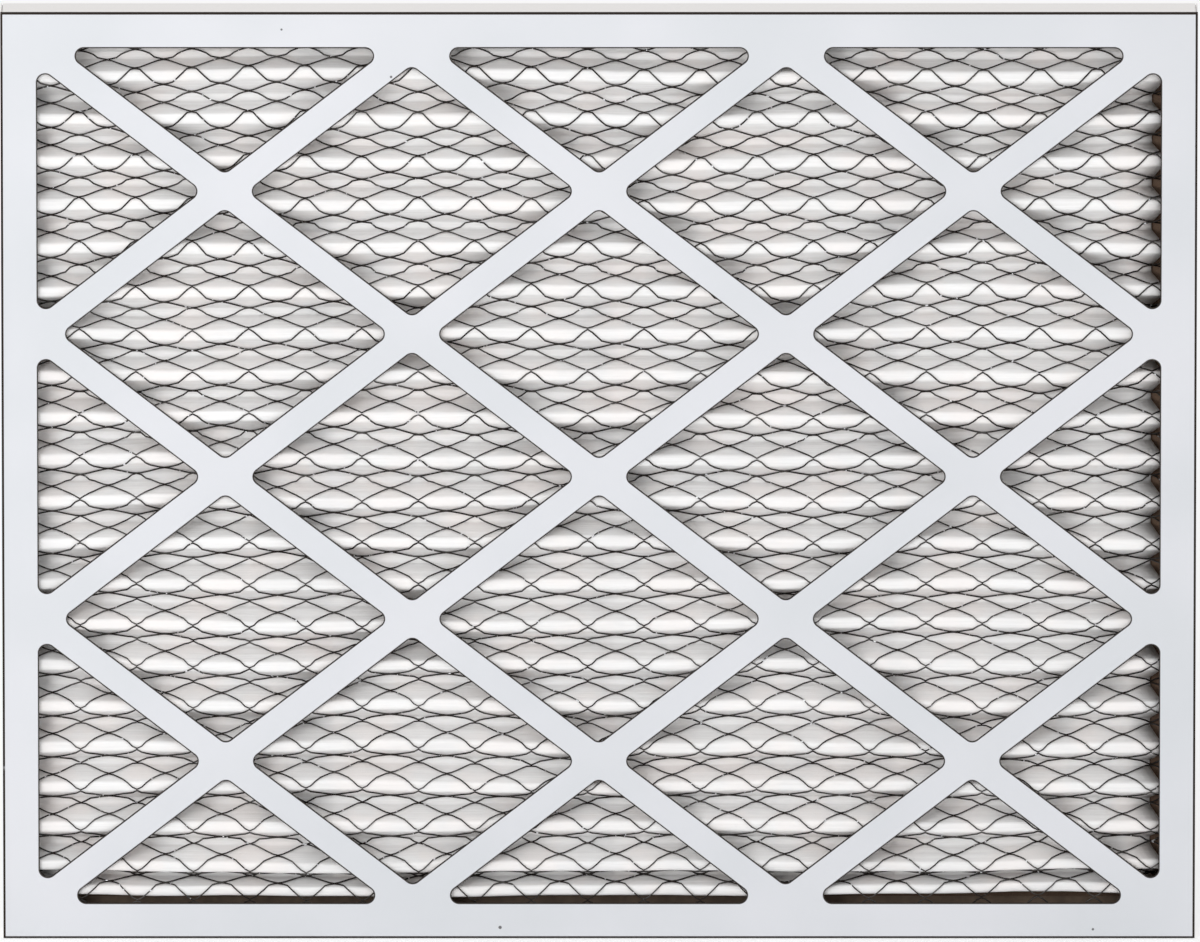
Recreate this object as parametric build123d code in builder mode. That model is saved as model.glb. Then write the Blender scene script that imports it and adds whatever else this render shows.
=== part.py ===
from build123d import *
from math import atan2, degrees, hypot
import os

os.makedirs("parts", exist_ok=True)

# Pleated panel air filter, standing upright on its long bottom edge.
# X is the width, Z the height, and the latticed front face looks towards -Y.
# The origin is at the middle of the bottom edge. All sizes are in millimetres.

# Panel and board
panel_w = 622.3  # outer width
panel_h = 495.3  # outer height
panel_d = 22.2  # outer depth, front face to rear face
board_t = 0.7  # paperboard of both trays
fold_r = 1.0  # outside radius where a wall folds back from its face
wall_slit = 0.4  # die-cut slit between two walls at a corner
nest_gap = 0.1  # glue line between the nested walls
tray_gap = 0.3  # rear tray's wall edges to the front board

# Windows cut in the two faces
border_w = 19.05  # plain border left around the front face
diamonds_x = 3  # full diamonds across the front face
diamonds_z = 3  # full diamonds up the front face
strap_w = 15.0  # diagonal straps of the front face
window_r = 4.2  # corner radius of every window
rear_border_w = 25.0  # plain border of the rear face, which covers the short right end of the pleats
rear_cols = 4  # windows across the rear face
rear_rows = 2  # windows up the rear face
rear_strap_w = 16.0  # straight straps of the rear face

# Pleated media, one sheet folded to and fro
media_t = 1.0  # media thickness
tip_count = 22  # folds that touch the front tray
first_tip = 9.2  # top wall to the middle of the first fold
last_tip = 15.2  # bottom wall to the middle of the last fold
last_lift = 8.5  # the bottom flap pushes the last fold up by this much
crowding = 0.05  # pleats stand this share closer at the bottom, wider at the top
top_sag = 4.2  # the top rear fold hangs this far below the middle of its pleat, the bottom one not at all
tip_flat = 5.0  # flattened width of a front fold
valley_flat = 3.6  # flattened width of a rear fold
crease_r = 0.5  # radius inside each crease of the sheet
glue_t = 0.3  # adhesive between the folds and the boards
glue_w = 14.5  # width of the adhesive bands around the borders
glue_inset = 1.5  # tray wall to the adhesive
end_gap = 1.0  # left wall to the left end of the pleats
right_end_front = 15.5  # right wall to the right end of the front folds
right_end_rear = 21.5  # right wall to the right end of the rear folds

# Expanded metal mesh laid on the front of the media and pleated with it
mesh_t = 0.5
mesh_gap = 0.3  # media to mesh, so that the mesh's sharp creases clear the media's round ones
mesh_cell_w = 57.0  # width of a diamond cell and its strand
mesh_cell_h = 44.0
mesh_strand = 6.0  # strand left between two cells

# Worked out from the sizes above
face_y = -panel_d / 2
back_y = panel_d / 2
open_w = panel_w - 2 * border_w
open_h = panel_h - 2 * border_w
mid_z = panel_h / 2
half_cell_x = open_w / (2 * diamonds_x)
half_cell_z = open_h / (2 * diamonds_z)
nest = board_t + nest_gap
inner_w = panel_w - 2 * (nest + board_t)
inner_h = panel_h - 2 * (nest + board_t)
tip_y = face_y + board_t + glue_t + mesh_t + mesh_gap
valley_y = back_y - board_t - glue_t - media_t
window_cut = 2 * board_t  # through a face, and no further than the space behind it
face_plane = Plane.XZ.offset(-face_y)
left_end_x = -inner_w / 2 + end_gap
right_end = Plane(
    origin=(inner_w / 2 - right_end_front, face_y, 0),
    z_dir=(panel_d, right_end_rear - right_end_front, 0),
)


def pleat_points():
    """Front side of the folded sheet, from its top flap down to its bottom flap."""
    top_z = mid_z + inner_h / 2 - glue_t - media_t
    bottom_z = mid_z - inner_h / 2 + glue_t + media_t
    span = inner_h - first_tip - last_tip
    gaps = tip_count - 1
    tips = []
    for tip in range(tip_count):
        share = tip / gaps
        drop = span * (share + crowding * share * (1 - share))
        tips.append(mid_z + inner_h / 2 - first_tip - drop)
    tips[-1] += last_lift
    points = [(tip_y, top_z), (valley_y, top_z)]
    points.append((valley_y, (top_z + tips[0] + tip_flat / 2) / 2))
    for tip, tip_z in enumerate(tips):
        points.append((tip_y, tip_z + tip_flat / 2))
        points.append((tip_y, tip_z - tip_flat / 2))
        if tip < gaps:
            middle = (tip_z + tips[tip + 1]) / 2 - top_sag * (1 - tip / gaps)
            points.append((valley_y, middle + valley_flat / 2))
            points.append((valley_y, middle - valley_flat / 2))
    points.append((valley_y, (bottom_z + tips[-1] - tip_flat / 2) / 2))
    points.append((valley_y, bottom_z))
    points.append((tip_y, bottom_z))
    return points


def sheet_side(distance):
    """Corners and crease radii of the sheet at this distance behind its front side."""
    corners = [Vector(*point) for point in pleat_points()]
    runs = [(end - start).normalized() for start, end in zip(corners, corners[1:])]
    behind = [run.rotate(Axis.Z, 90) for run in runs]
    moved = [corners[0] + behind[0] * distance]
    radii = []
    for corner, above, below in zip(corners[1:-1], behind, behind[1:]):
        moved.append(corner + (above + below) * (distance / (1 + above.dot(below))))
        at_tip = above.cross(below).Z > 0
        radii.append(crease_r + media_t - distance if at_tip else crease_r + distance)
    moved.append(corners[-1] + behind[-1] * distance)
    return moved, radii


# Front tray: one die-cut board, its face latticed and its four walls folded back
with BuildPart() as front_frame:
    with BuildSketch(face_plane):
        with Locations((0, mid_z)):
            Rectangle(panel_w, panel_h)
    extrude(amount=-panel_d)
    fillet(front_frame.faces().sort_by(Axis.Y)[0].edges(), fold_r)
    offset(amount=-board_t, openings=front_frame.faces().sort_by(Axis.Y)[-1])
    with BuildSketch(face_plane) as front_windows:
        strap_angle = degrees(atan2(half_cell_z, half_cell_x))
        strap_length = 2 * hypot(open_w, open_h)
        with Locations((0, mid_z)):
            Rectangle(open_w, open_h)
            with GridLocations(2 * half_cell_x, 0, diamonds_x + diamonds_z - 1, 1):
                Rectangle(strap_length, strap_w, rotation=strap_angle, mode=Mode.SUBTRACT)
                Rectangle(strap_length, strap_w, rotation=-strap_angle, mode=Mode.SUBTRACT)
        fillet(front_windows.vertices(), window_r)
    extrude(amount=-window_cut, mode=Mode.SUBTRACT)
    with BuildSketch(Plane.XZ.offset(-back_y)):
        with Locations((0, mid_z)):
            with GridLocations(panel_w - 2 * board_t - wall_slit, panel_h - board_t, 2, 2):
                Rectangle(wall_slit, board_t)
    extrude(amount=panel_d - fold_r, mode=Mode.SUBTRACT)
front_frame.part.label = "front_frame"
export_step(front_frame.part, "parts/front_frame.step")

# Rear tray: a second board nested inside the walls of the first, with plain straps
with BuildPart() as rear_frame:
    with BuildSketch(Plane.XZ.offset(-back_y)):
        with Locations((0, mid_z)):
            Rectangle(panel_w - 2 * nest, panel_h - 2 * nest)
    extrude(amount=panel_d - board_t - tray_gap)
    fillet(rear_frame.faces().sort_by(Axis.Y)[-1].edges(), fold_r)
    offset(amount=-board_t, openings=rear_frame.faces().sort_by(Axis.Y)[0])
    rear_window_w = (panel_w - 2 * rear_border_w - (rear_cols - 1) * rear_strap_w) / rear_cols
    rear_window_h = (panel_h - 2 * rear_border_w - (rear_rows - 1) * rear_strap_w) / rear_rows
    with BuildSketch(Plane.XZ.offset(-back_y)):
        with Locations((0, mid_z)):
            with GridLocations(
                rear_window_w + rear_strap_w, rear_window_h + rear_strap_w, rear_cols, rear_rows
            ):
                RectangleRounded(rear_window_w, rear_window_h, window_r)
    extrude(amount=window_cut, mode=Mode.SUBTRACT)
    with BuildSketch(Plane.XZ.offset(fold_r - back_y)):
        with Locations((0, mid_z)):
            with GridLocations(
                panel_w - 2 * nest - 2 * board_t - wall_slit, panel_h - 2 * nest - board_t, 2, 2
            ):
                Rectangle(wall_slit, board_t)
    extrude(amount=panel_d, mode=Mode.SUBTRACT)
rear_frame.part.label = "rear_frame"
export_step(rear_frame.part, "parts/rear_frame.step")

# Pleated media: one sheet of fibre, with a flap at each end that lies on the tray wall
with BuildPart() as pleated_media:
    with BuildSketch(Plane.YZ.offset(left_end_x)):
        with BuildLine():
            front_corners, front_radii = sheet_side(0)
            rear_corners, rear_radii = sheet_side(media_t)
            FilletPolyline(*front_corners, radius=front_radii)
            FilletPolyline(*rear_corners, radius=rear_radii)
            Line(front_corners[0], rear_corners[0])
            Line(front_corners[-1], rear_corners[-1])
        make_face()
    extrude(amount=inner_w)
    split(bisect_by=right_end, keep=Keep.BOTTOM)
pleated_media.part.label = "pleated_media"
export_step(pleated_media.part, "parts/pleated_media.step")

# Support mesh: expanded metal, drawn as one thin pleated wall with coarse diamond cells
with BuildPart() as support_mesh:
    with BuildSketch(Plane.YZ.offset(left_end_x)):
        with BuildLine():
            Polyline(*pleat_points())
            sharp = Kind.INTERSECTION
            offset(amount=mesh_gap, side=Side.RIGHT, kind=sharp, closed=False, mode=Mode.REPLACE)
            offset(amount=mesh_t, side=Side.RIGHT, kind=sharp)
        make_face()
    extrude(amount=inner_w)
    split(bisect_by=right_end, keep=Keep.BOTTOM)
    cell_cols = int((inner_w - right_end_rear) // mesh_cell_w)
    cell_rows = int(inner_h // mesh_cell_h)
    half_gap_w = (mesh_cell_w - mesh_strand) / 2
    half_gap_h = (mesh_cell_h - mesh_strand) / 2
    with BuildSketch(face_plane):
        for row in range(cell_rows):
            row_z = mid_z + (row - (cell_rows - 1) / 2) * mesh_cell_h
            with Locations((0, row_z)):
                with GridLocations(mesh_cell_w, 0, cell_cols - row % 2, 1):
                    Polygon((-half_gap_w, 0), (0, -half_gap_h), (half_gap_w, 0), (0, half_gap_h))
    extrude(amount=-panel_d, mode=Mode.SUBTRACT)
support_mesh.part.label = "support_mesh"
export_step(support_mesh.part, "parts/support_mesh.step")

# Adhesive bands: each bonds the folds to the inside of one board, all round its border
with BuildPart() as front_glue:
    with BuildSketch(face_plane.offset(-board_t)):
        with Locations((0, mid_z)):
            Rectangle(inner_w - 2 * glue_inset, inner_h - 2 * glue_inset)
            glue_reach = 2 * (glue_inset + glue_w)
            Rectangle(inner_w - glue_reach, inner_h - glue_reach, mode=Mode.SUBTRACT)
    extrude(amount=-glue_t)
front_glue.part.label = "front_glue"
export_step(front_glue.part, "parts/front_glue.step")

with BuildPart() as rear_glue:
    with BuildSketch(Plane.XZ.offset(board_t - back_y)):
        with Locations((0, mid_z)):
            Rectangle(inner_w - 2 * glue_inset, inner_h - 2 * glue_inset)
            Rectangle(inner_w - glue_reach, inner_h - glue_reach, mode=Mode.SUBTRACT)
    extrude(amount=glue_t)
rear_glue.part.label = "rear_glue"
export_step(rear_glue.part, "parts/rear_glue.step")
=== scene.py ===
import math

import bpy
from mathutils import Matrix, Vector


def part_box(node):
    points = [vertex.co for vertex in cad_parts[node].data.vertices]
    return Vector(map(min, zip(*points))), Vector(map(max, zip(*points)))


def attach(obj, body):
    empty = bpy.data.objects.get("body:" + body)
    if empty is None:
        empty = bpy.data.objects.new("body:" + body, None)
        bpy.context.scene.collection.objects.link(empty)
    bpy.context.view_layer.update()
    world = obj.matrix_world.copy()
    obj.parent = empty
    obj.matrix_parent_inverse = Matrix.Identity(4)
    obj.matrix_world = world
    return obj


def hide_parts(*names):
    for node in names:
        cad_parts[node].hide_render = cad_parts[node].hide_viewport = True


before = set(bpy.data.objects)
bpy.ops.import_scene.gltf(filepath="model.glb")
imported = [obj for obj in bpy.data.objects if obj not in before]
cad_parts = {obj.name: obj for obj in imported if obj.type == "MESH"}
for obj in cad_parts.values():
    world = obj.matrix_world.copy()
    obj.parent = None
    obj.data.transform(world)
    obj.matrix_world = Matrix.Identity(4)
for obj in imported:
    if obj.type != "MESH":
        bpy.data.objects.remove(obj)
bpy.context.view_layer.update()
MM = 0.001


# Front tray. A die-cut sheet of 0.7 mm paperboard, coated pale on its outer side and plain brown
# kraft inside. Its face is punched out to a diamond lattice and its four walls are folded back.
# The blade leaves dark edges in the windows, and round each window a dark rim is painted that is partly this
# cut edge and partly painted shade for the shadowed gap between board and media. The coating cracks along
# each fold.

def material(name):
    """An empty node material with a Principled BSDF, and both of them."""
    made = bpy.data.materials.new(name)
    made.use_nodes = True
    nodes = made.node_tree.nodes
    nodes.clear()
    output = nodes.new("ShaderNodeOutputMaterial")
    shader = nodes.new("ShaderNodeBsdfPrincipled")
    made.node_tree.links.new(shader.outputs["BSDF"], output.inputs["Surface"])
    return made, shader


def repaint(node_name, finish):
    """Gives a CAD node this material."""
    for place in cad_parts[node_name].material_slots:
        place.material = finish


def node(tree, kind, values=None, **settings):
    """A node in a tree, with its settings and its inputs as values or as links from other sockets."""
    made = tree.nodes.new(kind)
    for name, value in settings.items():
        setattr(made, name, value)
    for key, value in (values or {}).items():
        if isinstance(value, bpy.types.NodeSocket):
            tree.links.new(value, made.inputs[key])
        else:
            made.inputs[key].default_value = value
    return made


def math_node(tree, operation, *values):
    """The result of a Math node on up to three values or sockets."""
    made = node(tree, "ShaderNodeMath", dict(enumerate(values)), operation=operation)
    return made.outputs[0]


def group(name, inputs, outputs, kind="ShaderNodeTree"):
    """An empty node group, and the sockets of its input and output nodes.

    An input is given by its default number or, where it has none, by its kind of socket.
    """
    tree = bpy.data.node_groups.new(name, kind)
    for label, given in inputs.items():
        number = {float: "NodeSocketFloat", int: "NodeSocketInt"}.get(type(given))
        socket = tree.interface.new_socket(label, in_out="INPUT", socket_type=number or given)
        if number:
            socket.default_value = given
    for label, form in outputs.items():
        tree.interface.new_socket(label, in_out="OUTPUT", socket_type=form)
    return tree, tree.nodes.new("NodeGroupInput").outputs, tree.nodes.new("NodeGroupOutput").inputs


def object_place(tree):
    """The Object coordinates."""
    return node(tree, "ShaderNodeTexCoord").outputs["Object"]


def axes(tree, vector):
    """The X, Y and Z of a vector."""
    return node(tree, "ShaderNodeSeparateXYZ", {0: vector}).outputs


def noise(tree, place, scale, detail, roughness=0.5):
    """The outputs of a Noise Texture."""
    return node(tree, "ShaderNodeTexNoise", {
        "Vector": place, "Scale": scale, "Detail": detail, "Roughness": roughness}).outputs


def bump(tree, shader, height, strength, distance):
    """Gives a shader the normals of this height."""
    made = node(tree, "ShaderNodeBump", {"Height": height, "Strength": strength, "Distance": distance})
    tree.links.new(made.outputs["Normal"], shader.inputs["Normal"])


def ramp(tree, value, low, high):
    """Value taken smoothly from 0 at low to 1 at high."""
    made = node(tree, "ShaderNodeMapRange", {"Value": value, "From Min": low, "From Max": high},
                interpolation_type="SMOOTHSTEP")
    return made.outputs["Result"]


def mix_color(tree, share, first, second):
    """Two colours mixed by a share."""
    factor, color_a, color_b, color_out = 0, 6, 7, 2
    made = node(tree, "ShaderNodeMix", data_type="RGBA")
    for key, value in ((factor, share), (color_a, first), (color_b, second)):
        if isinstance(value, bpy.types.NodeSocket):
            tree.links.new(value, made.inputs[key])
        else:
            made.inputs[key].default_value = value
    return made.outputs[color_out]


def darker(color, share):
    """This share of a colour."""
    return [share * part for part in color[:3]] + [1]


def tray_layers():
    """Tells the coated outer side of a folded tray from its kraft side, its folds and its walls."""
    tree, given, result = group(
        "Tray layers",
        {"Half width": 0.3, "Half height": 0.25, "Half depth": 0.01, "Middle height": 0.25,
         "Face side": -1.0, "Fold radius": 0.001, "Crack": 0.0003},
        {"Coated": "NodeSocketFloat", "Fold": "NodeSocketFloat", "Wall": "NodeSocketFloat"})
    place = axes(tree, object_place(tree))
    side = math_node(tree, "SUBTRACT", math_node(tree, "ABSOLUTE", place["X"]), given["Half width"])
    rise = math_node(tree, "ABSOLUTE", math_node(tree, "SUBTRACT", place["Z"], given["Middle height"]))
    rise = math_node(tree, "SUBTRACT", rise, given["Half height"])
    wall = math_node(tree, "MAXIMUM", side, rise)
    forward = math_node(tree, "MULTIPLY", place["Y"], given["Face side"])
    front = math_node(tree, "SUBTRACT", forward, given["Half depth"])
    in_wall = math_node(tree, "ADD", wall, given["Fold radius"])
    in_front = math_node(tree, "ADD", front, given["Fold radius"])
    bend = math_node(tree, "SQRT", math_node(
        tree, "ADD", math_node(tree, "POWER", math_node(tree, "MAXIMUM", in_wall, 0.0), 2.0),
        math_node(tree, "POWER", math_node(tree, "MAXIMUM", in_front, 0.0), 2.0)))
    outer = math_node(tree, "SUBTRACT", bend, given["Fold radius"])
    tree.links.new(ramp(tree, outer, *COATED_RAMP), result["Coated"])
    both = math_node(tree, "ADD", math_node(tree, "MINIMUM", in_wall, in_front), given["Crack"])
    tree.links.new(ramp(tree, both, *FOLD_RAMP), result["Fold"])
    behind = math_node(tree, "SUBTRACT", given["Half depth"], forward)
    tree.links.new(ramp(tree, behind, *WALL_RAMP), result["Wall"])
    return tree


def rounded_corner(tree, first, second, cosine, radius):
    """Distance inside two edges whose inward normals have this cosine, with their corner rounded."""
    one = math_node(tree, "SUBTRACT", radius, first)
    two = math_node(tree, "SUBTRACT", radius, second)
    high, low = math_node(tree, "MAXIMUM", one, two), math_node(tree, "MINIMUM", one, two)
    past = math_node(tree, "SUBTRACT", low, math_node(tree, "MULTIPLY", cosine, high))
    past = math_node(tree, "MAXIMUM", past, 0.0)
    sine_squared = math_node(tree, "SUBTRACT", 1.0, math_node(tree, "MULTIPLY", cosine, cosine))
    bowed = math_node(tree, "DIVIDE", math_node(tree, "MULTIPLY", past, past), sine_squared)
    away = math_node(tree, "SQRT", math_node(tree, "MULTIPLY_ADD", high, high, bowed))
    away = math_node(tree, "MULTIPLY", away, math_node(tree, "GREATER_THAN", high, 0.0))
    away = math_node(tree, "ADD", away, math_node(tree, "MINIMUM", high, 0.0))
    return math_node(tree, "SUBTRACT", radius, away)


def window_rims():
    """A thin band on the board around each die-cut window of the diamond lattice, for a dark rim that is
    partly the cut edge and partly painted shade.
    """
    tree, given, result = group(
        "Window rims",
        {"Half width": 0.29, "Half height": 0.22, "Middle height": 0.25, "Diamonds": 3.0,
         "Strap": 0.015, "Corner": 0.004, "Rim": 0.0003},
        {"Rim": "NodeSocketFloat"})
    place = axes(tree, object_place(tree))
    x, z = place["X"], math_node(tree, "SUBTRACT", place["Z"], given["Middle height"])
    slant = math_node(tree, "ARCTAN2", given["Half height"], given["Half width"])
    sine, cosine = math_node(tree, "SINE", slant), math_node(tree, "COSINE", slant)
    width = math_node(tree, "MULTIPLY", given["Half width"], 2.0)
    period = math_node(tree, "MULTIPLY", math_node(tree, "DIVIDE", width, given["Diamonds"]), sine)
    across, up = math_node(tree, "MULTIPLY", x, sine), math_node(tree, "MULTIPLY", z, cosine)
    half_strap = math_node(tree, "MULTIPLY", given["Strap"], 0.5)
    edges = []
    for tilt in ("SUBTRACT", "ADD"):
        off = math_node(tree, tilt, across, up)
        nearest = math_node(tree, "SNAP", math_node(tree, "MULTIPLY_ADD", period, 0.5, off), period)
        off = math_node(tree, "SUBTRACT", off, nearest)
        inside = math_node(tree, "SUBTRACT", math_node(tree, "ABSOLUTE", off), half_strap)
        edges.append((inside, math_node(tree, "SIGN", off)))
    (rising, rising_side), (falling, falling_side) = edges
    x_side, z_side = math_node(tree, "SIGN", x), math_node(tree, "SIGN", z)
    side = math_node(tree, "SUBTRACT", given["Half width"], math_node(tree, "ABSOLUTE", x))
    end = math_node(tree, "SUBTRACT", given["Half height"], math_node(tree, "ABSOLUTE", z))
    crossing = math_node(tree, "SUBTRACT", math_node(tree, "MULTIPLY", sine, sine),
                         math_node(tree, "MULTIPLY", cosine, cosine))
    minus_sine = math_node(tree, "MULTIPLY", sine, -1.0)
    minus_cosine = math_node(tree, "MULTIPLY", cosine, -1.0)
    corners = [
        (rising, falling, crossing, rising_side, falling_side),
        (rising, side, minus_sine, rising_side, x_side),
        (falling, side, minus_sine, falling_side, x_side),
        (rising, end, cosine, rising_side, z_side),
        (falling, end, minus_cosine, falling_side, z_side),
    ]
    inside = math_node(tree, "MINIMUM", side, end)
    for first, second, angle, first_side, second_side in corners:
        turned = math_node(tree, "MULTIPLY", angle, math_node(tree, "MULTIPLY", first_side, second_side))
        corner = rounded_corner(tree, first, second, turned, given["Corner"])
        inside = math_node(tree, "MINIMUM", inside, corner)
    outside = math_node(tree, "MULTIPLY", inside, -1.0)
    fade = node(tree, "ShaderNodeMapRange", {
        "Value": outside, "From Min": given["Rim"],
        "From Max": math_node(tree, "MULTIPLY", given["Rim"], RIM_FADE), "To Min": 1.0, "To Max": 0.0})
    on_board = math_node(tree, "GREATER_THAN", outside, -CUT_WALL)
    tree.links.new(math_node(tree, "MULTIPLY", fade.outputs["Result"], on_board), result["Rim"])
    return tree


def board_material(name, node_name, face_side):
    """Coated paperboard with its kraft side, its cut edges and its cracked folds.

    The shader, its base colour and the Object coordinates come with it, for marks on the board.
    """
    made, shader = material(name)
    tree = made.node_tree
    low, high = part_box(node_name)
    layers = node(tree, "ShaderNodeGroup", {
        "Half width": (high[0] - low[0]) / 2, "Half height": (high[2] - low[2]) / 2,
        "Half depth": high[1] if face_side > 0 else -low[1], "Middle height": (high[2] + low[2]) / 2,
        "Face side": face_side, "Fold radius": FOLD_RADIUS}, node_tree=TRAY_LAYERS).outputs
    spot = object_place(tree)
    fibre = noise(tree, spot, scale=1900.0, detail=2.0, roughness=0.6)["Fac"]
    cloud = noise(tree, spot, scale=9.0, detail=2.0, roughness=0.55)["Fac"]
    crack = noise(tree, spot, scale=160.0, detail=2.0)["Fac"]
    grain = ramp(tree, fibre, 0.35, 0.7)
    cracked = math_node(tree, "MULTIPLY", layers["Fold"], ramp(tree, crack, 0.12, 0.30))
    pale = mix_color(tree, ramp(tree, cloud, 0.3, 0.7), *COATING)
    # Painted light: the walls are made lighter than the face, standing in for the light they catch from
    # above, and warmer.
    pale = mix_color(tree, math_node(tree, "MULTIPLY", layers["Wall"], PAINTED_WALL_LIGHT_SHARE), pale, PAINTED_WALL_LIGHT)
    pale = mix_color(tree, math_node(tree, "MULTIPLY", grain, GRAIN_SHARE), pale, GRAIN)
    pale = mix_color(tree, cracked, pale, CUT_EDGE_AND_SHADE)
    inner = mix_color(tree, grain, KRAFT, darker(KRAFT, 0.72))
    color = mix_color(tree, layers["Coated"], inner, pale)
    tree.links.new(color, shader.inputs["Base Color"])
    rough = node(tree, "ShaderNodeMapRange", {"Value": grain, "To Min": 0.46, "To Max": 0.60})
    bare = math_node(tree, "SUBTRACT", 1.0, layers["Coated"])
    bare = math_node(tree, "MULTIPLY", bare, KRAFT_ROUGHNESS)
    rough = math_node(tree, "MAXIMUM", rough.outputs["Result"], bare)
    rough = math_node(tree, "MAXIMUM", rough, math_node(tree, "MULTIPLY", cracked, CRACK_ROUGHNESS))
    tree.links.new(rough, shader.inputs["Roughness"])
    shader.inputs["Specular IOR Level"].default_value = 0.3
    bump(tree, shader, fibre, strength=0.12, distance=0.1 * MM)
    return made, shader, color, spot


# Each ramp is the pair of distances between which a mask of the board goes from 0 to 1.
FOLD_RADIUS = 1.0 * MM
COATED_RAMP = (-0.30 * MM, -0.15 * MM)
FOLD_RAMP = (0.05 * MM, 0.20 * MM)
WALL_RAMP = (0.8 * MM, 1.1 * MM)
COATING = ((0.65, 0.67, 0.70, 1), (0.70, 0.71, 0.745, 1))
# The wall colour is painted light: lighter than the coating, for the light falling on the walls from above,
# and warmer.
PAINTED_WALL_LIGHT, PAINTED_WALL_LIGHT_SHARE = (0.91, 0.875, 0.85, 1), 0.8
GRAIN, GRAIN_SHARE = (0.55, 0.56, 0.58, 1), 0.05
KRAFT, KRAFT_ROUGHNESS = (0.17, 0.11, 0.075, 1), 0.85
# This dark is the kraft of cracks and cut edges; in the window rims it is also painted shade for the shadowed
# gap between board and media.
CUT_EDGE_AND_SHADE, CRACK_ROUGHNESS = (0.020, 0.014, 0.011, 1), 0.9
BORDER_W, STRAP_W, WINDOW_R, DIAMONDS = 19.05 * MM, 15.0 * MM, 4.2 * MM, 3
RIM_W, RIM_FADE, CUT_WALL = 0.52 * MM, 1.5, 0.3 * MM
SPECKS = (  # x, z and radius in millimetres
    (-108.1, 461.0, 0.8), (-165.0, 486.2, 0.7), (258.0, 4.9, 0.8), (-51.7, 5.9, 1.1), (310.6, 424.0, 0.9))
SPECK_CORE, SPECK_SHARE = 0.6, 0.8

TRAY_LAYERS = tray_layers()
tray_low, tray_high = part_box("front_frame")
tray_middle = (tray_low[2] + tray_high[2]) / 2
front_board, shader, color, spot = board_material("Coated paperboard", "front_frame", -1.0)
tree = front_board.node_tree
dark = node(tree, "ShaderNodeGroup", {
    "Half width": tray_high[0] - BORDER_W, "Half height": (tray_high[2] - tray_low[2]) / 2 - BORDER_W,
    "Middle height": tray_middle, "Diamonds": DIAMONDS, "Strap": STRAP_W, "Corner": WINDOW_R,
    "Rim": RIM_W}, node_tree=window_rims()).outputs["Rim"]
for speck_x, speck_z, radius in SPECKS:
    centre = (speck_x * MM, tray_low[1], speck_z * MM)
    away = node(tree, "ShaderNodeVectorMath", {0: spot, 1: centre}, operation="DISTANCE").outputs["Value"]
    speck = math_node(tree, "SUBTRACT", 1.0, ramp(tree, away, SPECK_CORE * radius * MM, radius * MM))
    dark = math_node(tree, "MAXIMUM", dark, math_node(tree, "MULTIPLY", speck, SPECK_SHARE))
# The window rims darkened here are partly the board's dark cut edge and partly painted shade from the gap
# between board and media; the specks are marks on the board.
tree.links.new(mix_color(tree, dark, color, CUT_EDGE_AND_SHADE), shader.inputs["Base Color"])
repaint("front_frame", front_board)


# Adhesive. Two bands of water-based glue, rolled on the inside of each board all round its border.
# They dry to a clear film that shows the kraft under it, and hold the ends and folds of the pleats.

GLUE = (0.20, 0.145, 0.105, 1)

glue, shader = material("Dried adhesive")
tree = glue.node_tree
drag = noise(tree, object_place(tree), scale=240.0, detail=3.0)["Fac"]
color = mix_color(tree, ramp(tree, drag, 0.3, 0.7), GLUE, darker(GLUE, 0.8))
tree.links.new(color, shader.inputs["Base Color"])
shader.inputs["Roughness"].default_value = 0.4
bump(tree, shader, drag, strength=0.4, distance=0.2 * MM)
repaint("front_glue", glue)
repaint("rear_glue", glue)


# Pleated media. One sheet of soft electrostatic fibre about 1 mm thick, scored and folded to and fro
# into 22 pleats, from a flap glued to the top wall down to a short flap on the rear board. Under its
# last fold the brown inside of the tray shows. The folds wander a little, the creases are round, and
# the sheet is short of the right wall, more so at its rear folds.

TIP_COUNT = 22
FIRST_TIP, LAST_TIP, LAST_LIFT = 9.2 * MM, 15.2 * MM, 8.5 * MM
CROWDING, TOP_SAG = 0.05, 4.2 * MM
TIP_FLAT, VALLEY_FLAT = 5.0 * MM, 3.6 * MM
MEDIA_T, CREASE, GLUE_T = 1.0 * MM, 0.5 * MM, 0.3 * MM
LAST_DROP, LAST_FLAP = 2.2 * MM, 1.9 * MM

media_low, media_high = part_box("pleated_media")
TIP_Y = media_low[1]
VALLEY_Y = media_high[1] - MEDIA_T


def fold_corners():
    """Corners of the sheet's front side as (y, z), from the top flap down to the end of the sheet."""
    top = media_high[2] - MEDIA_T
    high, low = media_high[2] + GLUE_T, media_low[2] - GLUE_T
    gaps = TIP_COUNT - 1
    tips = []
    for tip in range(TIP_COUNT):
        share = tip / gaps
        drop = (high - low - FIRST_TIP - LAST_TIP) * (share + CROWDING * share * (1 - share))
        tips.append(high - FIRST_TIP - drop)
    tips[-1] += LAST_LIFT
    corners = [(TIP_Y, top), (VALLEY_Y, top), (VALLEY_Y, (top + tips[0] + TIP_FLAT / 2) / 2)]
    for tip, z in enumerate(tips):
        corners += [(TIP_Y, z + TIP_FLAT / 2), (TIP_Y, z - TIP_FLAT / 2)]
        if tip < gaps:
            middle = (z + tips[tip + 1]) / 2 - TOP_SAG * (1 - tip / gaps)
            corners += [(VALLEY_Y, middle + VALLEY_FLAT / 2), (VALLEY_Y, middle - VALLEY_FLAT / 2)]
    end = tips[-1] - TIP_FLAT / 2 - LAST_DROP
    return corners + [(VALLEY_Y, end), (VALLEY_Y, end - LAST_FLAP)]


def wire_object(name, corners):
    """A curve object with one straight-sided spline through these (y, z) corners."""
    curve = bpy.data.curves.new(name, "CURVE")
    curve.dimensions = "3D"
    spline = curve.splines.new("POLY")
    spline.points.add(len(corners) - 1)
    for point, (y, z) in zip(spline.points, corners):
        point.co = (0, y, z, 1)
    made = bpy.data.objects.new(name, curve)
    bpy.context.scene.collection.objects.link(made)
    return made


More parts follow.
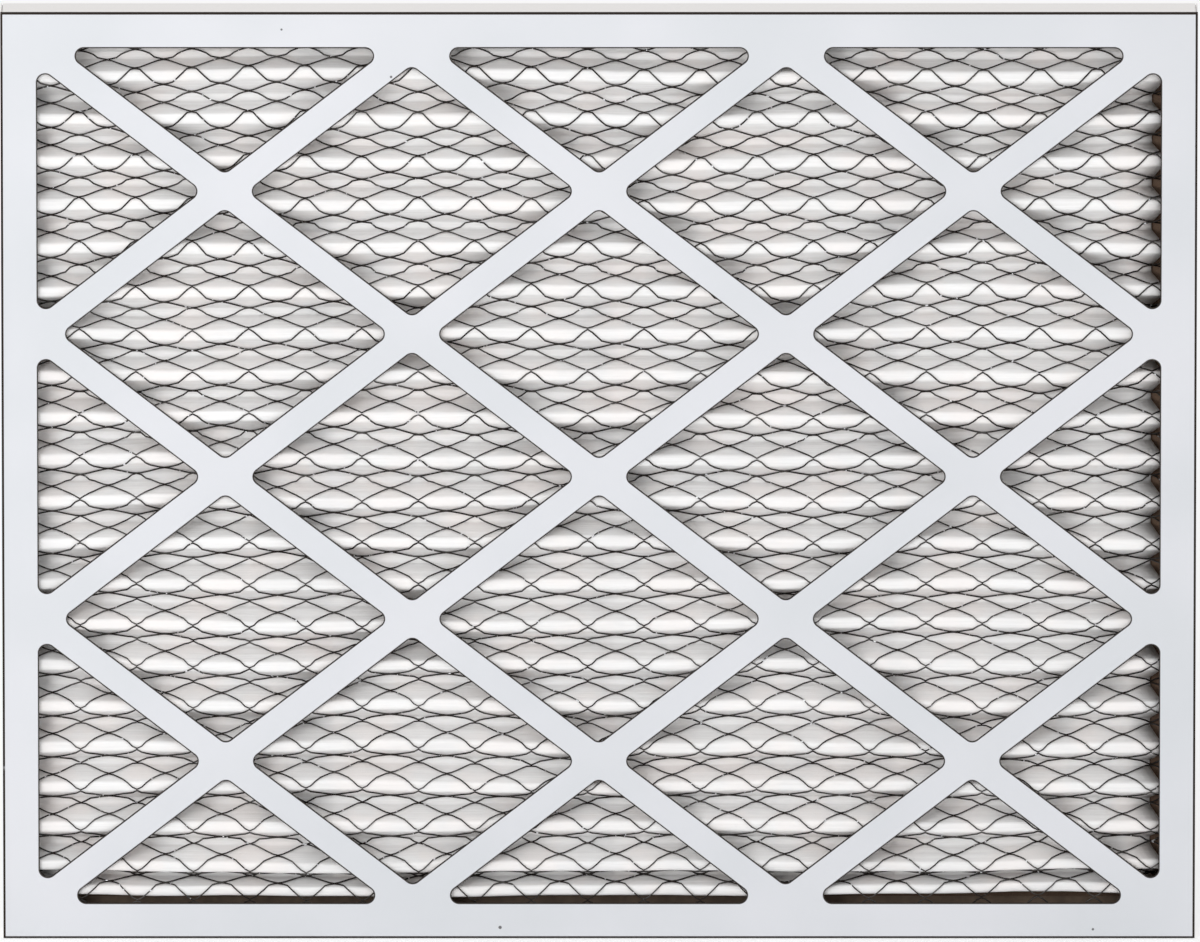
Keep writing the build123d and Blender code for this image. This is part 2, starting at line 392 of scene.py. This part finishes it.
def wander_group():
    """Moves a point of the sheet as its hand-set folds wander: up and down, and back from the board."""
    tree, given, result = group(
        "Fold wander",
        {"Position": "NodeSocketVector", "Rise": WANDER_RISE, "Depth": WANDER_DEPTH, "Pucker": PUCKER,
         "Across": 7.0, "Up": 16.0, "Pucker size": 55.0},
        {"Offset": "NodeSocketVector"}, "GeometryNodeTree")
    scale = node(tree, "ShaderNodeCombineXYZ", {"X": given["Across"], "Z": given["Up"]}).outputs[0]
    where = node(tree, "ShaderNodeVectorMath", {0: given["Position"], 1: scale}, operation="MULTIPLY")
    slow = axes(tree, noise(tree, where.outputs[0], scale=1.0, detail=1.5)["Color"])
    quick = noise(tree, given["Position"], scale=given["Pucker size"], detail=1.0)
    quick = axes(tree, quick["Color"])
    rise = math_node(tree, "MULTIPLY", math_node(tree, "SUBTRACT", slow["X"], 0.5),
                     math_node(tree, "MULTIPLY", given["Rise"], NOISE_GAIN))
    rise = math_node(tree, "MULTIPLY_ADD", math_node(tree, "SUBTRACT", quick["X"], 0.5),
                     given["Pucker"], rise)
    depth = axes(tree, given["Position"])["Y"]
    at_tip = node(tree, "ShaderNodeMapRange", {"Value": depth, "From Min": VALLEY_Y, "From Max": TIP_Y})
    back = math_node(tree, "ADD", math_node(tree, "MULTIPLY", slow["Y"], given["Depth"]),
                     math_node(tree, "MULTIPLY", quick["Y"], given["Pucker"]))
    back = math_node(tree, "MULTIPLY", back, at_tip.outputs["Result"])
    offset = node(tree, "ShaderNodeCombineXYZ", {"Y": back, "Z": rise})
    tree.links.new(offset.outputs[0], result["Offset"])
    return tree


def run_tree(name, tree, values):
    """An object named for its piece, with this tree's result as its plain mesh."""
    made = bpy.data.objects.new(name, bpy.data.meshes.new(name))
    bpy.context.scene.collection.objects.link(made)
    modifier = made.modifiers.new("Make", "NODES")
    modifier.node_group = tree
    for item in tree.interface.items_tree:
        if item.in_out == "INPUT" and item.name in values:
            modifier[item.identifier] = values[item.name]
    graph = bpy.context.evaluated_depsgraph_get()
    mesh = bpy.data.meshes.new_from_object(made.evaluated_get(graph), depsgraph=graph)
    mesh.name = name
    made.modifiers.clear()
    made.data = mesh
    return made


def rounded_line(tree, given, count):
    """The fold line with round creases of this many points, wider at the front by the sheet's thickness."""
    line = node(tree, "GeometryNodeObjectInfo", {"Object": given["Fold line"]}).outputs["Geometry"]
    depth = axes(tree, node(tree, "GeometryNodeInputPosition").outputs[0])["Y"]
    at_tip = node(tree, "FunctionNodeCompare", {0: depth, 1: 0.0}, data_type="FLOAT", operation="LESS_THAN")
    radius = node(tree, "GeometryNodeSwitch", {
        "Switch": at_tip.outputs[0], "False": given["Crease"],
        "True": math_node(tree, "ADD", given["Crease"], given["Thickness"])}, input_type="FLOAT")
    return node(tree, "GeometryNodeFilletCurve", {"Curve": line, "Count": count, "Radius": radius.outputs[0]},
                mode="POLY").outputs[0]


def wandered(tree, x, fold):
    """The place at this x on the fold line, moved as the folds wander."""
    flat = node(tree, "ShaderNodeCombineXYZ", {"X": x, "Y": fold["Y"], "Z": fold["Z"]}).outputs[0]
    wander = node(tree, "GeometryNodeGroup", {"Position": flat}, node_tree=WANDER).outputs[0]
    return node(tree, "ShaderNodeVectorMath", {0: flat, 1: wander}, operation="ADD").outputs[0]


def dressed(tree, geometry, finish):
    """A smooth mesh of this geometry, with its material."""
    smooth = node(tree, "GeometryNodeSetShadeSmooth", {"Geometry": geometry})
    real = node(tree, "GeometryNodeRealizeInstances", {"Geometry": smooth.outputs[0]})
    return node(tree, "GeometryNodeSetMaterial", {"Geometry": real.outputs[0], "Material": finish}).outputs[0]


def sheet_tree(finish):
    """The front side of the folded sheet: a grid laid along the fold line, wandered and cut slanting."""
    tree, given, result = group(
        "Folded sheet",
        {"Fold line": "NodeSocketObject", "Rows": 900, "Columns": 48, "Left": -0.3, "Right": 0.3,
         "Right rear": 0.29, "Crease": 0.0005, "Thickness": 0.001},
        {"Sheet": "NodeSocketGeometry"}, "GeometryNodeTree")
    line = rounded_line(tree, given, count=4)
    grid = node(tree, "GeometryNodeMeshGrid", {
        "Size X": 1.0, "Size Y": 1.0, "Vertices X": given["Columns"], "Vertices Y": given["Rows"]})
    spot = axes(tree, node(tree, "GeometryNodeInputPosition").outputs[0])
    along = math_node(tree, "SUBTRACT", 0.5, spot["Y"])
    sample = node(tree, "GeometryNodeSampleCurve", {"Curves": line, "Factor": along},
                  mode="FACTOR", use_all_curves=True)
    fold = axes(tree, sample.outputs["Position"])
    right = node(tree, "ShaderNodeMapRange", {
        "Value": fold["Y"], "From Min": TIP_Y, "From Max": VALLEY_Y,
        "To Min": given["Right"], "To Max": given["Right rear"]}).outputs[0]
    across = math_node(tree, "ADD", spot["X"], 0.5)
    across = math_node(tree, "MULTIPLY", across, math_node(tree, "SUBTRACT", right, given["Left"]))
    place = wandered(tree, math_node(tree, "ADD", given["Left"], across), fold)
    laid = node(tree, "GeometryNodeSetPosition", {"Geometry": grid.outputs["Mesh"], "Position": place})
    tree.links.new(dressed(tree, laid.outputs[0], finish), result["Sheet"])
    return tree


def fibre_material():
    """White spun fibre: fine streaks along the folds, warm cloudy patches and a felted surface."""
    made, shader = material("Spun fibre")
    tree = made.node_tree
    place = object_place(tree)
    streaks, masks = [], []
    for scale, low, high in (((9.0, 300.0, 300.0), 0.40, 0.66), ((34.0, 900.0, 900.0), 0.42, 0.66)):
        stretch = node(tree, "ShaderNodeMapping", {"Vector": place, "Scale": scale})
        streaks.append(noise(tree, stretch.outputs[0], scale=1.0, detail=3.0, roughness=0.6)["Fac"])
        masks.append(ramp(tree, streaks[-1], low, high))
    patch = noise(tree, place, scale=30.0, detail=2.0, roughness=0.6)["Fac"]
    patch = ramp(tree, patch, 0.42, 0.66)
    fuzz = noise(tree, place, scale=1500.0, detail=1.0, roughness=0.7)["Fac"]
    color = mix_color(tree, masks[0], FIBRE, FIBRE_STREAK)
    color = mix_color(tree, math_node(tree, "MULTIPLY", masks[1], FINE_SHARE), color, FIBRE_STREAK)
    color = mix_color(tree, math_node(tree, "MULTIPLY", patch, WARM_SHARE), color, FIBRE_WARM)
    tree.links.new(color, shader.inputs["Base Color"])
    shader.inputs["Roughness"].default_value = 0.9
    shader.inputs["Specular IOR Level"].default_value = 0.15
    shader.inputs["Subsurface Weight"].default_value = 0.3
    shader.inputs["Subsurface Radius"].default_value = (1.0, 0.95, 0.9)
    shader.inputs["Subsurface Scale"].default_value = 4.0 * MM
    height = math_node(tree, "MULTIPLY_ADD", streaks[1], FINE_HEIGHT, streaks[0])
    height = math_node(tree, "MULTIPLY_ADD", fuzz, FUZZ_HEIGHT, height)
    bump(tree, shader, height, strength=0.6, distance=0.8 * MM)
    return made


WANDER_RISE, WANDER_DEPTH, PUCKER = 1.9 * MM, 0.9 * MM, 0.7 * MM
NOISE_GAIN = 4.0  # noise strays about a quarter from its middle
FIBRE = (0.92, 0.915, 0.91, 1)
FIBRE_STREAK, FINE_SHARE = (0.84, 0.83, 0.825, 1), 0.5
FIBRE_WARM, WARM_SHARE = (0.93, 0.885, 0.865, 1), 0.8
FINE_HEIGHT, FUZZ_HEIGHT = 0.4, 0.2
SHEET_ROWS, SHEET_COLUMNS = 920, 48
REAR_SHORTER = 6.0 * MM

WANDER = wander_group()
fold_line = wire_object("fold_line", fold_corners())
media = run_tree("pleated_sheet", sheet_tree(fibre_material()), {
    "Fold line": fold_line, "Rows": SHEET_ROWS, "Columns": SHEET_COLUMNS,
    "Left": media_low[0], "Right": media_high[0], "Right rear": media_high[0] - REAR_SHORTER,
    "Crease": CREASE, "Thickness": MEDIA_T,
})
thicken = media.modifiers.new("Thickness", "SOLIDIFY")
thicken.thickness = MEDIA_T
thicken.offset = -1
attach(media, "root")
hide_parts("pleated_media")


# Support mesh. A sheet of expanded steel, slit and stretched into diamond cells, laid on the front
# of the fibre and pleated with it. Its strands are 0.8 mm wide and meet at short bonds, and below
# the last fold it hangs on a little further than the fibre.

# Rows of bonds are counted along the fold line: row 0 lies at ROW_ZERO, and further down the step
# from one row to the next is a little shorter.
CELL_W = 29.4 * MM
BOND_X = -6.0 * MM
ROW_ZERO = 36.2 * MM
ROW_STEP, ROW_SHRINK = 12.142 * MM, 0.00244 * MM
ROWS_ABOVE, STRANDS = 2, 87
STRAND_W = 0.8 * MM
STRAND_OVERLAP = 0.4
NET_GAP = 0.3 * MM
NET_TAIL = 14.0 * MM
STRAND_STEPS = 6


def net_tree(finish):
    """Expanded mesh: one waved strand for each half row of cells, laid along the folded sheet."""
    tree, given, result = group(
        "Expanded mesh",
        {"Fold line": "NodeSocketObject", "Strands": 88, "Points": 250, "First x": -0.3, "Left": -0.3,
         "Right": 0.3, "Cell width": 0.03, "Bond x": 0.0, "Steps": 6, "Rows above": 0, "Row zero": 0.0,
         "Row step": 0.012, "Row shrink": 0.0, "Lift": 0.0005, "Strand": 0.0008, "Corner": 0.9,
         "Crease": 0.0005, "Thickness": 0.001},
        {"Net": "NodeSocketGeometry"}, "GeometryNodeTree")
    line = rounded_line(tree, given, count=6)
    strand = node(tree, "GeometryNodeMeshLine", {
        "Count": given["Points"], "Start Location": (0, 0, 0), "Offset": (1, 0, 0)}, mode="OFFSET")
    rows = node(tree, "GeometryNodeMeshLine", {
        "Count": given["Strands"], "Start Location": (0, 0, 0), "Offset": (0, 1, 0)}, mode="OFFSET")
    copies = node(tree, "GeometryNodeInstanceOnPoints", {
        "Points": rows.outputs[0], "Instance": strand.outputs[0]})
    flat = node(tree, "GeometryNodeRealizeInstances", {"Geometry": copies.outputs[0]})
    spot = axes(tree, node(tree, "GeometryNodeInputPosition").outputs[0])
    gap = math_node(tree, "MULTIPLY", given["Steps"], 2.0)
    gap = math_node(tree, "DIVIDE", given["Cell width"], gap)
    x = math_node(tree, "MULTIPLY_ADD", spot["X"], gap, given["First x"])
    x = math_node(tree, "MINIMUM", math_node(tree, "MAXIMUM", x, given["Left"]), given["Right"])
    turn = math_node(tree, "DIVIDE", math_node(tree, "SUBTRACT", x, given["Bond x"]), given["Cell width"])
    half_turn = math_node(tree, "MULTIPLY", math_node(tree, "MODULO", spot["Y"], 2.0), 0.5)
    turn = math_node(tree, "MULTIPLY", math_node(tree, "ADD", turn, half_turn), math.tau)
    wave = math_node(tree, "MULTIPLY", math_node(tree, "COSINE", turn), given["Corner"])
    bent = math_node(tree, "DIVIDE", math_node(tree, "ARCSINE", wave),
                     math_node(tree, "ARCSINE", given["Corner"]))
    overlap = math_node(tree, "MULTIPLY", given["Strand"], STRAND_OVERLAP)
    overlap = math_node(tree, "DIVIDE", overlap, given["Row step"])
    half = math_node(tree, "SUBTRACT", 0.5, overlap)
    row = math_node(tree, "SUBTRACT", math_node(tree, "ADD", spot["Y"], 0.5), given["Rows above"])
    row = math_node(tree, "SUBTRACT", row, math_node(tree, "MULTIPLY", bent, half))
    shrink = math_node(tree, "MULTIPLY", row, given["Row shrink"])
    step = math_node(tree, "SUBTRACT", given["Row step"], shrink)
    length = math_node(tree, "MULTIPLY_ADD", row, step, given["Row zero"])
    sample = node(tree, "GeometryNodeSampleCurve", {"Curves": line, "Length": length},
                  mode="LENGTH", use_all_curves=True)
    place = wandered(tree, x, axes(tree, sample.outputs["Position"]))
    ahead = node(tree, "ShaderNodeVectorMath", {0: sample.outputs["Tangent"], 1: (1, 0, 0)},
                 operation="CROSS_PRODUCT")
    lifted = node(tree, "ShaderNodeVectorMath", {0: ahead.outputs[0], 3: given["Lift"]}, operation="SCALE")
    place = node(tree, "ShaderNodeVectorMath", {0: place, 1: lifted.outputs[0]}, operation="ADD")
    laid = node(tree, "GeometryNodeSetPosition", {"Geometry": flat.outputs[0], "Position": place.outputs[0]})
    curve = node(tree, "GeometryNodeMeshToCurve", {"Mesh": laid.outputs[0]})
    section = node(tree, "GeometryNodeCurvePrimitiveCircle", {
        "Resolution": 4, "Radius": math_node(tree, "MULTIPLY", given["Strand"], 0.5)})
    swept = node(tree, "GeometryNodeCurveToMesh", {
        "Curve": curve.outputs[0], "Profile Curve": section.outputs[0], "Fill Caps": True})
    tree.links.new(dressed(tree, swept.outputs[0], finish), result["Net"])
    return tree


def strand_material():
    """Dull steel, dark and a little worn, with short painted glints scattered along the strands as spots of
    bright, smoother metal.
    """
    made, shader = material("Expanded steel")
    tree = made.node_tree
    place = object_place(tree)
    worn = ramp(tree, noise(tree, place, scale=70.0, detail=3.0)["Fac"], 0.4, 0.7)
    # Painted glints: noise spots of bright, smoother metal stand in for light glinting off the strands.
    painted_glint = ramp(tree, noise(tree, place, scale=420.0, detail=1.0)["Fac"], 0.69, 0.72)
    color = mix_color(tree, worn, STEEL_DARK, STEEL_WORN)
    tree.links.new(mix_color(tree, painted_glint, color, STEEL_PAINTED_GLINT), shader.inputs["Base Color"])
    rough = node(tree, "ShaderNodeMapRange", {"Value": painted_glint, "To Min": 0.5, "To Max": 0.3})
    tree.links.new(rough.outputs["Result"], shader.inputs["Roughness"])
    shader.inputs["Metallic"].default_value = 1.0
    return made


STEEL_DARK = (0.030, 0.025, 0.023, 1)
STEEL_WORN = (0.10, 0.095, 0.09, 1)
# The bright metal of the painted glints.
STEEL_PAINTED_GLINT = (0.85, 0.86, 0.88, 1)

net_low, net_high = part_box("support_mesh")
step_x = CELL_W / (2 * STRAND_STEPS)
first_step = math.floor((net_low[0] - BOND_X) / step_x)
last_step = math.ceil((net_high[0] - BOND_X) / step_x)
net_corners = fold_corners()[:-2]
net_corners.append((TIP_Y, net_corners[-1][1] - NET_TAIL))
net_line = wire_object("net_line", net_corners)
net = run_tree("expanded_mesh", net_tree(strand_material()), {
    "Fold line": net_line, "Strands": STRANDS, "Points": last_step - first_step + 1,
    "First x": BOND_X + first_step * step_x, "Left": net_low[0], "Right": net_high[0],
    "Cell width": CELL_W, "Bond x": BOND_X, "Steps": STRAND_STEPS, "Rows above": ROWS_ABOVE,
    "Row zero": ROW_ZERO, "Row step": ROW_STEP, "Row shrink": ROW_SHRINK,
    "Lift": NET_GAP + STRAND_W / 2, "Strand": STRAND_W, "Crease": CREASE, "Thickness": MEDIA_T,
})
bpy.data.objects.remove(fold_line)
bpy.data.objects.remove(net_line)
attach(net, "root")
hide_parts("support_mesh")


# Rear tray. The same coated board, cut with plain straight straps, nested inside the front tray's
# walls and glued there.

repaint("rear_frame", board_material("Rear paperboard", "rear_frame", 1.0)[0])


# Studio. A pale floor, a soft key light on the left, a weak fill, and a long lens a little above
# the panel.

def seen_directly(tree):
    """1 for camera, glossy and transmission rays, which see the white background itself, else 0."""
    path = node(tree, "ShaderNodeLightPath").outputs
    seen = math_node(tree, "MAXIMUM", path["Is Glossy Ray"], path["Is Transmission Ray"])
    return math_node(tree, "MAXIMUM", path["Is Camera Ray"], seen)


def pale_floor():
    """A matt floor that takes the shadow and is lifted to white where it is seen directly."""
    made = bpy.data.materials.new("Pale floor")
    made.use_nodes = True
    tree = made.node_tree
    tree.nodes.clear()
    output = node(tree, "ShaderNodeOutputMaterial")
    matt = node(tree, "ShaderNodeBsdfDiffuse", {"Color": FLOOR_GREY})
    lift = node(tree, "ShaderNodeEmission", {
        "Color": WHITE, "Strength": math_node(tree, "MULTIPLY", seen_directly(tree), FLOOR_LIFT)})
    both = node(tree, "ShaderNodeAddShader", {0: matt.outputs[0], 1: lift.outputs[0]})
    tree.links.new(both.outputs[0], output.inputs["Surface"])
    return made


FLOOR_SIZE = 60.0
FLOOR_GREY, WHITE = (0.86, 0.86, 0.86, 1), (1, 1, 1, 1)
FLOOR_LIFT = 0.22
AMBIENT = 0.82

mesh = bpy.data.meshes.new("floor")
half = FLOOR_SIZE / 2
floor_corners = [(-half, -half, 0), (half, -half, 0), (half, half, 0), (-half, half, 0)]
mesh.from_pydata(floor_corners, [], [(0, 1, 2, 3)])
mesh.materials.append(pale_floor())
floor = bpy.data.objects.new("floor", mesh)
bpy.context.scene.collection.objects.link(floor)

world = bpy.data.worlds.new("Studio")
world.use_nodes = True
bpy.context.scene.world = world
tree = world.node_tree
tree.nodes.clear()
bright = node(tree, "ShaderNodeMapRange", {
    "Value": seen_directly(tree), "To Min": AMBIENT, "To Max": 1.0})
sky = node(tree, "ShaderNodeBackground", {"Color": WHITE, "Strength": bright.outputs["Result"]})
out = node(tree, "ShaderNodeOutputWorld")
tree.links.new(sky.outputs[0], out.inputs["Surface"])


def softbox(name, place, aim, size, power):
    """A square area lamp that looks at a point."""
    lamp = bpy.data.lights.new(name, "AREA")
    lamp.shape = "SQUARE"
    lamp.size = size
    lamp.energy = power
    made = bpy.data.objects.new(name, lamp)
    made.location = place
    turn = [aim[axis] - place[axis] for axis in range(3)]
    flat = math.hypot(turn[0], turn[1])
    made.rotation_euler = (math.atan2(flat, -turn[2]), 0, math.atan2(-turn[0], turn[1]))
    bpy.context.scene.collection.objects.link(made)


middle = (0, tray_low[1], tray_middle)
softbox("key", (-1.1, -2.1, 0.8), middle, size=0.9, power=20.0)
softbox("fill", (1.3, -1.9, 0.7), middle, size=1.2, power=2.0)

ELEVATION = math.radians(13.1)
DISTANCE = 20.0
SENSOR = 36.0
IMAGE_W = 1200
FACE_W_PX = 1194.5
FACE_LEFT_PX, FACE_MID_Y_PX, IMAGE_MID_Y_PX = 1.8, 476.7, 471

camera_data = bpy.data.cameras.new("camera")
camera = bpy.data.objects.new("camera", camera_data)
bpy.context.scene.collection.objects.link(camera)
bpy.context.scene.camera = camera
pixel = (tray_high[0] - tray_low[0]) / FACE_W_PX
camera_data.sensor_width = SENSOR
camera_data.lens = SENSOR * DISTANCE / (IMAGE_W * pixel)
camera_data.clip_end = 5 * DISTANCE
aim_x = (IMAGE_W / 2 - FACE_LEFT_PX - FACE_W_PX / 2) * pixel
aim_z = middle[2] + (FACE_MID_Y_PX - IMAGE_MID_Y_PX) * pixel / math.cos(ELEVATION)
camera.location = (aim_x, middle[1] - DISTANCE * math.cos(ELEVATION),
                   aim_z + DISTANCE * math.sin(ELEVATION))
camera.rotation_euler = (math.pi / 2 - ELEVATION, 0, 0)

bpy.context.scene.view_settings.view_transform = "Standard"
